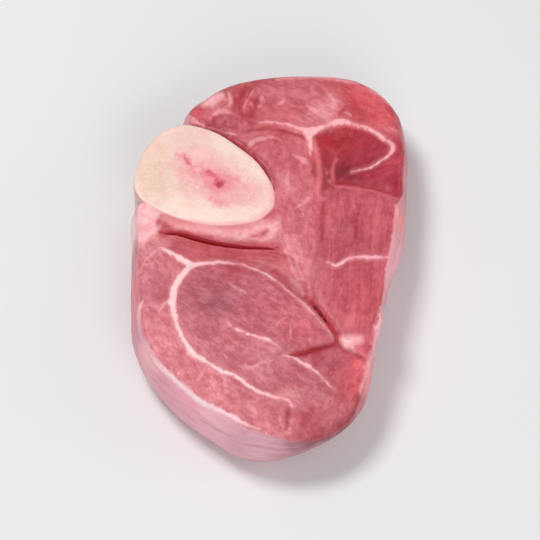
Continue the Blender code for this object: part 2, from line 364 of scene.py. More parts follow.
def new_finish(name, roughness, shine, coat, coat_roughness, scatter, scatter_depth):
    """A moist organic finish: soft light below the surface and a thin wet film over it."""
    finish = bpy.data.materials.new(name)
    finish.use_nodes = True
    shader = finish.node_tree.nodes["Principled BSDF"]
    shader.inputs["Roughness"].default_value = roughness
    shader.inputs["Specular IOR Level"].default_value = shine
    shader.inputs["Coat Weight"].default_value = coat
    shader.inputs["Coat Roughness"].default_value = coat_roughness
    shader.inputs["Subsurface Weight"].default_value = scatter
    shader.inputs["Subsurface Radius"].default_value = SCATTER_RADIUS
    shader.inputs["Subsurface Scale"].default_value = scatter_depth * MM
    shader.inputs["IOR"].default_value = TISSUE_IOR
    return finish, finish.node_tree, shader


def bumped(tree, shader, height, depth, strength):
    """Fine relief from a height between 0 and 1, the given depth in millimetres."""
    bump = node(tree, "Bump", {"Height": height, "Distance": depth * MM, "Strength": strength})
    tree.links.new(bump.outputs["Normal"], shader.inputs["Normal"])
    tree.links.new(bump.outputs["Normal"], shader.inputs["Coat Normal"])


BONE_SHADE = (0.95, 0.86, 0.84)
BONE_SPECK = (0.98, 0.78, 0.70)


def spongy(tree, place, tone):
    """Cut bone: faint clouds and pale specks over its tone."""
    cloud = mottle(tree, place, 5.0)
    fine = mottle(tree, place, 1.1, detail=4.0, roughness=0.6)
    deeper = mixed(tree, 1.0, tone, BONE_SHADE, "MULTIPLY")
    colour = mixed(tree, ramp(tree, cloud, 0.55, 0.35, 0.0, 0.8), tone, deeper)
    colour = mixed(tree, ramp(tree, fine, 0.48, 0.34, 0.0, 0.7), colour, deeper)
    return mixed(tree, ramp(tree, fine, 0.54, 0.70, 0.0, 0.45), colour, BONE_SPECK)


FILM_ROSE = (0.70, 0.30, 0.30)
EDGE_PINK = (0.95, 0.42, 0.41)

bone_finish, tree, shader = new_finish(
    "moist_sawn_bone", roughness=0.42, shine=0.4, coat=0.2, coat_roughness=0.2, scatter=0.2, scatter_depth=1.2
)
place = node(tree, "TexCoord").outputs["Object"]
colour = spongy(tree, place, kept(tree, "tone", "Color"))
film = ramp(tree, mottle(tree, place, 5.0, distortion=0.6), 0.40, 0.66, 0.0, 0.75)
off_cut = ramp(tree, kept(tree, "cut"), 0.7, 0.2)
on_wall = sums(tree, "MULTIPLY", off_cut, ramp(tree, kept(tree, "core"), 1.5, 3.0))
colour = mixed(tree, sums(tree, "MULTIPLY", film, on_wall), colour, FILM_ROSE)
colour = mixed(tree, ramp(tree, kept(tree, "outer"), 1.8, -0.4, 0.0, 0.75), colour, EDGE_PINK)
tree.links.new(colour, shader.inputs["Base Color"])
relief = sums(tree, "MULTIPLY", mottle(tree, place, 0.5), 0.5)
bumped(tree, shader, sums(tree, "ADD", relief, mottle(tree, place, 1.8)), depth=0.12, strength=0.7)
bone.data.materials.append(bone_finish)
bone.data.shade_smooth()
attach(bone, "root")
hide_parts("bone")

# Marrow: the soft core that fills the ring, pink marrow in a sponge of fine bone.
# Sawn with the bone, it sinks a hair in its middle and spreads thinly over the bone's inner edge.
# A blood vessel's dark mouth and a few red smears show on it.

MARROW_VOXEL = 0.4
MARROW_UPPER = (24.4, 25.5)
# How far it spreads over the bone, how high it stands there, and how much it thins to its edge
MARROW_SPREAD = 2.0
SPREAD_HEIGHT = 0.06
SPREAD_THINNING = 0.12
# How deep its middle and the vessel's mouth sink, and the lift of its underside
MARROW_HOLLOW = 0.16
MOUTH_DEPTH = 0.15
MARROW_LIFT = 0.15
VESSEL_MOUTH = (-17.7, 29.0)
VESSEL_SIZE = 1.5
# Strokes of blood and stain: x, y and width along each
BLOOD_SMEARS = (
    ((-24.2, 33.0, 0.3), (-21.4, 33.6, 1.0), (-18.8, 31.4, 1.3), (-17.8, 29.0, 3.4), (-15.6, 31.0, 0.4)),
    ((-31.0, 40.4, 0.3), (-29.4, 39.0, 0.8), (-28.0, 37.0, 1.0)),
)
PINK_STAINS = (
    ((-25.6, 33.8, 0.6), (-22.0, 33.0, 3.2), (-18.0, 29.4, 8.0), (-14.8, 29.8, 4.0), (-11.5, 30.6, 0.3)),
    ((-20.8, 23.4, 0.3), (-18.4, 21.2, 1.4), (-15.0, 20.6, 0.3)),
    ((-32.4, 40.6, 0.5), (-29.6, 39.4, 1.6), (-28.0, 36.6, 1.4), (-26.4, 33.0, 0.8)),
)
BLOOD_RED = (0.60, 0.075, 0.11)
STAIN_PINK = (0.86, 0.26, 0.30)
VESSEL_DARK = (0.46, 0.03, 0.055)
PORES_PER_METRE = 1100.0


def strokes_distance(x, y, strokes):
    """Distance beyond the edge of the nearest of several smooth strokes: negative on a stroke."""
    return np.min([line_distance(x, y, smooth_plan(s, closed=False, steps=5))[0] for s in strokes], axis=0)


marrow = fine_copy("marrow", "marrow_core", MARROW_VOXEL)
relax(marrow, 2)
spots, normals = read_points(marrow)
x, y, z = spots.T.copy()
upper = ease(z, *MARROW_UPPER)
lower = ease(z, *BONE_LOWER)
core = plan_distance(x, y, MARROW_OUTLINE)
mouth = bump_at(x, y, VESSEL_MOUTH, VESSEL_SIZE)
sponge = waves(spots, 1.3, 5)
hollows = MARROW_HOLLOW * (1.0 + waves(spots, 4.0, 6)) + 0.1 * sponge
spread = MARROW_SPREAD * ease(core, -3.0, -0.3)
spots[:, :2] += outward(x, y, MARROW_OUTLINE, core) * spread[:, None]
x, y = spots[:, 0].copy(), spots[:, 1].copy()
core = plan_distance(x, y, MARROW_OUTLINE)
over_edge = SPREAD_HEIGHT - SPREAD_THINNING * ease(core, -0.6, 2.0)
face = sawn_level(spots) + over_edge - ease(-core, 1.0, 4.0) * hollows - MOUTH_DEPTH * mouth
spots[:, 2] += upper * (face - z) + lower * (MARROW_LIFT + 0.1 * sponge)
write_points(marrow, spots)
paint(marrow, "tone", bone_tones(x, y, core))
paint(marrow, "blood", strokes_distance(x, y, BLOOD_SMEARS))
paint(marrow, "stain", strokes_distance(x, y, PINK_STAINS))
paint(marrow, "mouth", mouth)
paint(marrow, "core", core)


def frayed(tree, name, fray, share=1.0):
    """Distance from the edge of the strokes that the mesh carries, made ragged."""
    return sums(tree, "ADD", kept(tree, name), sums(tree, "MULTIPLY", fray, share))


marrow_finish, tree, shader = new_finish(
    "moist_marrow", roughness=0.42, shine=0.4, coat=0.2, coat_roughness=0.2, scatter=0.2, scatter_depth=1.2
)
place = node(tree, "TexCoord").outputs["Object"]
colour = spongy(tree, place, kept(tree, "tone", "Color"))
ragged = ramp(tree, mottle(tree, place, 1.4, detail=5.0), 0.25, 0.75, -1.0, 1.0)
stain = ramp(tree, frayed(tree, "stain", ragged), -1.4, 2.2, 0.8, 0.0)
colour = mixed(tree, stain, colour, STAIN_PINK)
smear = ramp(tree, frayed(tree, "blood", ragged, 0.7), -1.1, 1.2, 0.8, 0.0)
colour = mixed(tree, smear, colour, BLOOD_RED)
colour = mixed(tree, ramp(tree, kept(tree, "mouth"), 0.25, 0.8, 0.0, 0.85), colour, VESSEL_DARK)
tree.links.new(colour, shader.inputs["Base Color"])
pores = node(tree, "TexVoronoi", {"Vector": place, "Scale": PORES_PER_METRE}, feature="F1")
porous = ramp(tree, kept(tree, "core"), -0.6, -2.4, 0.0, 0.4)
pitted = sums(tree, "MULTIPLY", ramp(tree, pores.outputs["Distance"], 0.1, 0.5), porous)
relief = sums(tree, "ADD", sums(tree, "MULTIPLY", mottle(tree, place, 0.5), 0.5), mottle(tree, place, 1.8))
bumped(tree, shader, sums(tree, "ADD", relief, pitted), depth=0.12, strength=0.7)
marrow.data.materials.append(marrow_finish)
marrow.data.shade_smooth()
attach(marrow, "root")
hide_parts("marrow")

# Meat: the muscles of the lower leg, cut across, with the sheets of pale tissue between them.
# Raw beef, moist and slightly swollen between its seams. A lilac-white skin binds it round the side.
# It fills the slice from cut face to cut face and holds the bone in a bay at the far left.

MEAT_VOXEL = 0.62
THICKNESS = 26.0
# Heights between which the cut face and the underside set in
MEAT_UPPER = (22.9, 24.1)
MEAT_LOWER = (1.2, 0.2)
SLICE_OUTLINE = (
    (46.2, 33), (45.2, 14), (43.2, 0), (40.2, -14), (37.4, -30), (34.2, -46), (30.8, -56.5), (25, -65),
    (13, -70.8), (-6, -69.2), (-22, -59.5), (-36.5, -45.5), (-45, -30), (-46.6, -13), (-46.6, 2), (-46.8, 13),
    (-46.4, 21.5), (-39, 30), (-31, 42), (-28.6, 52.6), (-29.6, 59.2), (-22.8, 66), (-14, 71.4),
    (-4, 74), (13, 75.2), (30.5, 73), (43, 63), (46.6, 48.5),
)
# The near right edge sags under its own weight and its foot tucks in below it, as in the solid. Above
# the slump the lower right side draws in as well, between the limits across and along the slice.
SAG_CENTRE = (30.0, -74.0)
SAG_REACH = 44.0
SAG_DEPTH = 9.0
SAG_FADE = 1.6
SAG_ROOT = 1.5
TUCK = 16.0
TUCK_FADE = 1.4
TUCK_WAY = (-0.375, 0.927)
SIDE_TUCK = 4.4
SIDE_TUCK_FADE = 0.8
SIDE_TUCK_ACROSS = (12.0, 34.0)
SIDE_TUCK_START = (-56.0, -34.0)
SIDE_TUCK_END = (-8.0, 14.0)
# The seams and other lines are placed as the camera sees them on the cut face, with a slight wobble
VIEW_ELEVATION = 60.0
LINE_SHIFT = 0.4
LINE_WOBBLE = 0.35
WOBBLE_SIZE = 2.6
# How far the gristle laps over the bone's edge, how high it stands on it, how much it thins to its own
# edge, and how deep the gap is where no gristle laps over
BAY_OVERLAP = 2.8
LAP_HEIGHT = 0.10
LAP_THINNING = 0.20
GAP_DEPTH = 0.6
# How soon a muscle swells inside its border, the groove along the border, and the rounding of the rim
SWELL_REACH = 4.5
GROOVE_DEPTH = 0.5
GROOVE_WIDTH = 1.5
RIM_DROP = 1.1
# The cut face stays below this height, just under the top of the solid
FACE_LIMIT = 26.55
# Unevenness of the cut face: height, size of its lumps and seed
FACE_WAVES = ((0.3, 12.0, 11), (0.16, 4.5, 12), (0.06, 1.8, 13))
# How far each kind of line stands up, and the distances from its edge where that starts and is whole
LINE_RELIEF = {
    "seam": (0.42, 0.8, -0.8),
    "faint": (0.20, 0.7, -0.6),
    "ridge": (0.20, 1.2, -0.9),
    "pad": (0.30, 1.2, -1.8),
    "gristle": (0.30, 0.5, -1.5),
    "crack": (-0.70, 1.8, -0.2),
    "crease": (-0.22, 2.0, -1.0),
}
# The wide split under the bone lies on the far side of this stretch of the plan, and on its near side
# the narrow cracks beside the eye muscle, which sink deeper and open less wide
NARROW_CRACKS = (6.0, 14.0)
NARROW_SINK = 0.8
SPLIT_WIDENING = 0.3
NARROW_WIDENING = 0.1
# Lift of the underside off the floor, and the grooves between its muscles
UNDER_LIFT = 0.12
UNDER_GROOVE = 0.3
UNDER_GROOVE_WIDTH = 1.2
# Depth of the skin's soft folds, on average
FOLD_DEPTH = 0.25
# How far the skin reaches in over the cut face: all round, more at the near edge and on the right side,
# and less where red meat comes to the edge
SKIN_OVER = 0.5
SKIN_NEAR = 1.3
SKIN_RIGHT = 1.9
SKIN_BARE = 2.6
# The pattern of the skin's sheets is squeezed to this share along the side, which draws them out
SHEET_STRETCH = 0.22

# Each muscle: level of its cut face, how much its middle swells, tone, the way its grain runs in
# degrees, how drawn out the grain is, and outline
MUSCLES = {
    "eye": (25.7, 0.6, (0.55, 0.140, 0.175), 140, 0.5, (
        (21.2, -31.6), (10.5, -18.4), (1.2, -9.2), (-10, -4.1), (-21, -3.7), (-29.4, -8.4), (-33, -19),
        (-30, -32.8), (-21.5, -42), (-7.5, -52), (7.6, -59.6), (19, -52.4), (12.4, -44.6), (9.2, -38.2),
    )),
    "outer": (25.4, 0.5, (0.69, 0.205, 0.24), 125, 0.45, (
        (-37.6, 1.8), (-44, 0.5), (-44.8, -12), (-43.6, -28), (-35.6, -43.8), (-21.4, -57), (-6, -66.8),
        (6, -68.6), (6.6, -61.4), (-8, -53.8), (-23, -43.2), (-31.8, -33), (-34.9, -19), (-32.6, -7),
    )),
    "near_right": (25.3, 0.5, (0.51, 0.097, 0.127), 60, 0.5, (
        (12, -38.6), (22, -35), (34.4, -34.6), (32, -46), (25.6, -60.4), (15, -67.6), (9, -66.4),
        (10.4, -60.6), (20.6, -53.4), (14.6, -45.4),
    )),
    "long": (25.9, 0.5, (0.55, 0.105, 0.135), 84, 0.22, (
        (20.4, 25.6), (18, 9), (14.4, -6), (15.4, -17), (23.4, -30.6), (35.6, -31.6), (38.6, -12),
        (42.6, 10), (44.4, 22.2), (33, 26.6),
    )),
    "strip": (24.9, 0.3, (0.54, 0.098, 0.122), -12, 0.18, (
        (-35.8, 5.6), (-33.4, 1.4), (-23, -1.6), (-11, -1.8), (1, -7.2), (9.6, -14.6), (13.6, -15.6),
        (12.2, -7), (7.4, 0.4), (-6, 2.2), (-17, 3.2), (-28, 6.2),
    )),
    "middle": (25.2, 0.45, (0.65, 0.153, 0.183), 100, 0.4, (
        (3.2, 21), (2.8, 8), (7.4, 0.6), (12.4, -1.6), (16.6, 10), (18.4, 25), (16.2, 37), (11.6, 45.4),
        (2, 46.2), (-4.6, 43), (-1.4, 35),
    )),
    "arch": (25.3, 0.3, (0.62, 0.135, 0.155), 20, 0.4, (
        (-12, 46), (-5, 45.8), (2, 47), (10.6, 46.8), (9.6, 50.6), (-2, 52), (-12.4, 50.4),
    )),
    "top": (25.7, 0.5, (0.60, 0.135, 0.16), 150, 0.4, (
        (-12, 57.6), (-10, 53), (-2, 53.2), (10, 52), (20, 55), (31, 55), (39.6, 51),
        (44, 54.6), (41, 61.4), (29.4, 69.4), (13, 71.6), (-4, 70.2), (-8.6, 65),
    )),
    "far_left": (25.4, 0.5, (0.56, 0.12, 0.145), 60, 0.5, (
        (-27.4, 57.4), (-25.6, 54.6), (-22.6, 54.4), (-20.8, 57.2), (-21.8, 60.6), (-25, 60.8),
    )),
    "far_lobe": (25.3, 0.3, (0.52, 0.10, 0.125), 70, 0.5, (
        (-20.4, 56.4), (-20.6, 52.4), (-14, 50.6), (-10.4, 53.4), (-11.4, 57.6), (-15.6, 58),
    )),
    "far_corner": (25.4, 0.5, (0.60, 0.155, 0.17), 20, 0.5, (
        (-19.6, 59.6), (-14.6, 59), (-10.4, 61), (-8.4, 68.4), (-13.6, 67.6), (-19, 64.4),
    )),
    "curl": (24.5, 0.3, (0.39, 0.034, 0.052), 60, 0.4, (
        (15.4, 48.8), (17.2, 38), (20.6, 30.6), (27, 33.6), (36, 37.4), (42, 43.6), (38.4, 49.6), (25, 53.6),
    )),
    "far_right": (25.0, 0.3, (0.455, 0.040, 0.068), 30, 0.4, (
        (23.6, 28), (33, 27.6), (44, 25), (46, 35), (45.2, 43), (38.4, 37.6), (29, 33.4),
    )),
}

# Pale sheets of tissue between the muscles: x, y and width
SEAMS = (
    ((-37.8, 3.2, 1.0), (-31.9, -0.2, 1.8), (-27.5, -3.6, 2.8)),
    ((-27.5, -3.6, 2.8), (-21.5, -2.9, 1.7), (-16.2, -2.5, 1.5), (-10.8, -3.2, 1.1), (-5.5, -5.3, 1.0),
     (0, -8.4, 1.0), (5.8, -13.2, 0.9), (10.8, -18.2, 0.8), (14.6, -23, 0.6), (18.6, -28, 0.5),
     (21.4, -31.4, 0.4)),
    ((-27.5, -3.6, 2.8), (-31.9, -10.4, 2.4), (-33.6, -17.3, 2.6), (-32.9, -23.8, 1.9), (-31.1, -30.6, 1.5),
     (-27.8, -36.6, 2.0), (-26, -39, 2.0), (-21.5, -42.2, 1.4), (-16.2, -46, 1.5), (-10.8, -48.4, 1.2),
     (-6.2, -52.5, 1.5), (0.1, -55.6, 1.4), (5.4, -57.2, 1.3), (7.4, -59.4, 0.7)),
    ((4.4, -39.8, 0.4), (8, -40.6, 1.2), (11.6, -42.9, 1.6), (15.2, -45.6, 1.0), (18.8, -49.8, 0.5),
     (22.4, -53.4, 0.2)),
    ((41, -1.3, 0.5), (35.6, -1.3, 1.5), (30.4, -1.1, 1.2), (26.6, -2.1, 1.1), (23.2, -4.6, 1.3),
     (20, -3.3, 0.4)),
    ((13.8, 50.2, 3.0), (17.4, 52, 1.8), (20.2, 53.4, 1.0), (24, 54.4, 1.9), (27, 54.3, 1.2),
     (30.6, 53.2, 0.8), (35.6, 51.4, 1.1), (40, 48, 1.3), (43.2, 44.6, 1.5), (42, 41.8, 1.0),
     (38.6, 38.8, 0.7), (36, 37, 0.8), (32, 35.2, 0.5), (28.6, 34.2, 0.2)),
    ((13.8, 50.2, 3.0), (9.4, 51.7, 1.2), (6.2, 52.9, 0.8), (3, 53.6, 0.3), (0.4, 54, 0.1)),
    ((-16.8, 50.4, 0.2), (-14.8, 49.8, 0.9), (-12.2, 49.5, 0.2)),
    ((-14.6, -27, 0.2), (-12, -29.4, 0.5), (-8.6, -31.2, 1.0), (-4.6, -32.6, 0.7), (-1, -33.8, 1.1),
     (1.4, -35.2, 0.6), (3.4, -37, 0.2)),
    ((13.8, 50.2, 3.0), (14, 46.8, 2.0), (14.1, 43.6, 1.2), (14.2, 40.6, 0.3)),
    ((23.8, -33.4, 0.3), (26.2, -34.0, 1.8), (28.8, -33.8, 1.3)),
    ((26.6, -34.6, 1.4), (27.8, -36.2, 1.0), (28.4, -37.8, 0.3)),
)
# Faint pale lines: thin sheets of tissue, and short pale streaks that are painted highlights on the moist
# face, as noted
FAINT_SEAMS_AND_HIGHLIGHTS = (
    ((-37.8, 3.2, 0.8), (-41.8, -0.6, 0.7), (-45.5, -7, 0.3)),
    ((-33.6, -18.4, 1.0), (-36.4, -19.4, 0.9), (-38, -22, 0.4)),
    # Painted highlight: a pale streak on the top muscle
    ((20.0, 66, 0.4), (21.6, 63.6, 0.9), (23, 61, 1.2), (23.4, 60, 0.3)),
    ((8.8, 19, 0.3), (11.2, 21, 1.0), (14.3, 23.6, 0.5)),
    ((10.2, 22.4, 0.3), (11.8, 22, 0.8), (12.8, 23.2, 0.3)),
    ((7.6, 40.6, 0.3), (9.2, 39.8, 0.9), (11, 39, 1.6), (12.4, 38, 1.8), (13.4, 37, 0.5)),
    ((-8.2, 42.6, 0.5), (-7.2, 45, 1.3), (-4.4, 47, 1.4), (-0.6, 48, 1.0), (3.6, 47.4, 0.4)),
    # These four short streaks are painted highlights
    ((2.6, 60.8, 0.3), (4.2, 62, 1.2), (5.4, 63.6, 0.3)),
    ((-4.0, 66, 0.3), (-3.0, 63.8, 1.2), (-2.2, 62, 0.3)),
    ((-6.8, 62.4, 0.3), (-6.2, 61, 0.8), (-6.2, 59.4, 0.3)),
    ((-4.4, 59.6, 0.3), (-3.6, 60.8, 0.8), (-3.4, 62.2, 0.3)),
    # Pale lines along the lobes' edges: painted highlights
    ((-20.4, 57.2, 0.4), (-18.2, 58.6, 1.0), (-15.6, 58.9, 1.1), (-13.2, 58.2, 0.4)),
    ((-14.6, 60.6, 0.3), (-13.9, 63.2, 1.4), (-14.8, 66.4, 0.5)),
    ((-4, 53.6, 0.3), (-1, 54, 0.8), (2, 53.8, 0.5)),
    # A painted highlight along a glossy red ridge
    ((-9.4, 58.8, 0.4), (-8.8, 62.6, 0.7), (-6.0, 67.2, 0.4)),
    ((13, 60.6, 0.5), (15.4, 59, 1.6), (17.4, 57.6, 1.4), (18.6, 55.8, 0.6)),
    ((16.6, 60.4, 0.3), (18, 59, 0.8), (20.6, 57.2, 0.8), (22.6, 57.4, 0.3)),
    ((25.2, 58.2, 0.3), (26.8, 58, 0.8), (28.4, 56.8, 0.3)),
    ((-29.4, 60, 0.8), (-28.8, 57, 1.4), (-26.6, 54.6, 1.8), (-23.6, 52.6, 1.0)),
    # Painted highlights on the eye muscle
    ((-14, -11.4, 0.2), (-11, -13.8, 0.8), (-8, -15.8, 0.4)),
    ((7.4, -26, 0.2), (6.8, -29, 0.6), (7, -33.4, 0.4)),
    ((2, -28.6, 0.2), (3.6, -25.8, 0.5), (5.6, -24.6, 0.2)),
    ((-15, -46.9, 0.3), (-15.4, -50.6, 0.9), (-14.6, -54, 0.3)),
    ((-8.5, -44.2, 0.2), (-6.4, -44.8, 0.9), (-3, -42.8, 0.6), (0.8, -42, 0.2)),
    ((-22, -44.4, 0.2), (-24, -47.6, 0.5), (-25, -50.6, 0.2)),
    ((-7.6, -58.4, 0.2), (-5.8, -60.6, 1.1), (-4.8, -62.6, 0.3)),
    ((6.2, 33.6, 0.4), (5.8, 30.4, 1.3), (6.6, 26.6, 0.6)),
    ((8.6, 1.0, 0.3), (9.4, -4, 1.0), (11.4, -9.6, 0.4)),
    ((5.2, 2.4, 0.3), (7.4, -4, 0.7), (9.4, -9.4, 0.3)),
    ((2, 71.8, 0.4), (10, 72.6, 1.6), (19, 72.6, 1.8), (26, 71.4, 1.6), (31, 69.6, 0.8)),
    ((33.4, 69.2, 0.6), (36.6, 67.2, 2.4), (39.4, 64.4, 1.0), (42, 61, 0.5)),
)
# Edges of red meat that stand up and catch the light, painted a lighter red as a painted highlight
LIT_RED_RIDGES = (
    ((23, 39.6, 0.1), (21.9, 36, 0.4), (21.9, 31.4, 0.5), (22.6, 28.6, 0.7), (26, 27.8, 1.1),
     (31, 27.0, 1.3), (36, 25.6, 1.2), (40, 24.2, 1.0), (44, 23, 0.5)),
    ((15.4, 47.6, 0.8), (15.9, 43.6, 1.4), (16.7, 38.6, 1.5), (17.2, 33.4, 2.2), (17.0, 27.4, 1.2)),
    ((-36, 8.2, 0.3), (-30, 7.4, 0.8), (-24, 5.2, 0.8), (-16, 3.6, 0.8), (-6, 2.7, 0.7), (2, 2.4, 0.3)),
    ((28.8, -37.4, 0.4), (32, -39.2, 0.6), (34.4, -42.6, 0.6)),
)
FAT_PADS = (
    ((-47.5, 23, 2.0), (-44.6, 18.6, 7.0), (-42.6, 14.0, 10.0), (-44, 9, 8.0), (-46, 5, 4.0)),
    ((-24.2, 61.4, 1.4), (-21, 63.4, 5.2), (-17.6, 65.4, 2.6), (-16.2, 63.6, 0.6)),
    ((23.4, -33.2, 1.6), (26.6, -34.2, 5.0), (30.4, -33.4, 3.2)),
    ((27.0, -35.0, 4.6), (28.6, -38.4, 1.4)),
    ((-33, 10.8, 0.3), (-26, 10.0, 1.2), (-19, 8.4, 2.0), (-14, 7.6, 2.5), (-8.6, 7.8, 3.2),
     (-4.4, 10.2, 2.0), (-0.6, 11.4, 2.6), (2.2, 12.6, 2.2)),
    ((-8.6, 7.2, 2.2), (-3.8, 6.8, 1.6), (-1.6, 6.8, 1.4), (0.8, 7.8, 2.0), (1.4, 10.4, 3.4)),
)
GRISTLE = (
    ((-39.0, 16.8, 2.0), (-36.4, 14.8, 3.4), (-33.4, 12.9, 3.8), (-28, 11.4, 4.4), (-21.5, 10.2, 4.6),
     (-12.6, 10, 4.6), (-5.5, 10.6, 4.4), (-1.4, 10.2, 5.0), (2.4, 12.9, 3.0), (3.4, 16.4, 0.8)),
)
# The open split under the bone and the two narrow ones beside the eye muscle, as cut in the solid
CRACKS = (
    ((-38.2, 10.4, 0.3), (-35, 10.2, 0.9), (-30, 9.2, 1.2), (-24.6, 7, 1.3), (-19, 5.6, 1.2), (-12, 4.7, 1.0),
     (-5.5, 4.0, 0.9), (2.6, 3.8, 0.3)),
    ((13.2, -16.6, 0.2), (17, -22, 0.5), (20.4, -27, 0.5), (22.6, -30.8, 0.5), (23, -33.4, 0.3)),
    ((22.6, -33.6, 0.1), (20, -34.8, 0.3), (15, -36.2, 0.5), (10.5, -37.8, 0.4), (6.8, -38.8, 0.1)),
)
# Creases between the lobes and beside the bone, darkened with painted shade where shade falls into them: x, y
# and width
SHADED_CREASES = (
    ((19.2, 43, 0.6), (19.6, 39.6, 1.8), (19.4, 33, 1.8), (19, 28, 1.6), (18.4, 24.6, 0.5)),
    ((15.6, 36.6, 0.3), (15.2, 34.6, 0.9), (15.6, 32.6, 0.3)),
    ((-10.6, 57.6, 0.2), (-11.0, 61.6, 0.7), (-9.8, 66, 0.8), (-8.2, 69, 0.2)),
    ((-6.4, 57.4, 0.3), (-5.6, 60.8, 1.0), (-4.0, 65.2, 0.3)),
    ((-13.0, 66.6, 0.3), (-12.2, 63, 0.7), (-12.6, 59.6, 0.3)),
    ((6.2, -60.4, 0.5), (5.8, -64.6, 0.9), (5.2, -68.4, 0.4)),
    # Painted shadow of the open gap along the bone's upper edge
    ((-21.4, 53.4, 1.2), (-12.0, 46.4, 2.0), (-3.2, 38.2, 1.9), (1.6, 30.4, 0.9), (2.6, 26, 0.2)),
    ((22.8, 30.2, 0.7), (27, 29.8, 1.2), (31, 29.2, 1.2), (36, 27.6, 0.8), (44, 25, 0.3)),
    ((22.8, -33.2, 0.4), (25.0, -36.8, 0.9), (28.6, -39.0, 0.9), (32, -41, 0.8), (33.2, -44.0, 0.3)),
    ((21.4, -34.8, 0.4), (16, -36.4, 1.3), (12.4, -37.8, 1.6), (8, -39.4, 0.6)),
    # Painted shadow line along the strip muscle beside the eye muscle's seam
    ((-8, -1.6, 0.3), (-2, -4, 1.0), (4, -8.6, 1.4), (9, -13.4, 1.1), (12, -16.4, 0.3)),
    ((-39.0, 12.4, 0.2), (-38.6, 13.4, 0.7), (-38.4, 14.2, 0.2)),
    ((-3.0, 8.5, 0.2), (-1.8, 8.8, 0.5), (-0.8, 9.4, 0.2)),
    ((-19.8, 56.6, 0.3), (-20.2, 54.4, 1.0), (-19, 52.4, 0.5)),
    ((-8, 51, 0.3), (0, 51.8, 0.9), (8, 49.8, 0.8), (11.6, 48, 0.3)),
    ((24.4, 57.6, 0.2), (25.6, 59, 0.6), (26.8, 60, 0.2)),
    ((31.4, 20, 0.2), (30, 13, 0.7), (29.6, 6, 0.3)),
    ((18.6, 22, 0.2), (17.6, 14, 0.6), (18, 6, 0.2)),
)
# The pale line where the skin begins, along the near left and the right edge of the cut face; on the right
# edge it is also widened and made pinker as a painted highlight along the rounded rim
HEM = (
    ((-43.6, -17.6, 0.6), (-45.2, -20.6, 2.1), (-45.8, -24.6, 2.4), (-45.3, -28.8, 1.4), (-44.0, -34, 0.5),
     (-41.0, -38.8, 1.0), (-37.9, -42.6, 1.8), (-33.9, -46.8, 1.6), (-29.3, -51.2, 1.4), (-24.4, -56.0, 1.6),
     (-19.8, -58.9, 1.4), (-15.2, -61.6, 1.3), (-11.7, -63.5, 1.6), (-8.2, -65.6, 0.7), (-3, -67.4, 0.3)),
    # Right edge: partly the skin's pale edge, partly a painted highlight where the rim rounds over
    ((38.2, -20, 0.2), (37.6, -25, 1.0), (36.8, -29.2, 2.8), (36.2, -33.4, 1.0), (35.4, -37, 1.0),
     (34.4, -40.8, 2.4), (33.2, -45, 2.2), (31.8, -49, 1.0), (30.8, -52, 0.2)),
)
# The lines that are placed as the camera sees them, by the name that the material reads
DRAWN_LINES = {
    "seam": SEAMS, "faint": FAINT_SEAMS_AND_HIGHLIGHTS, "ridge": LIT_RED_RIDGES, "pad": FAT_PADS, "gristle": GRISTLE,
    "crease": SHADED_CREASES,
}
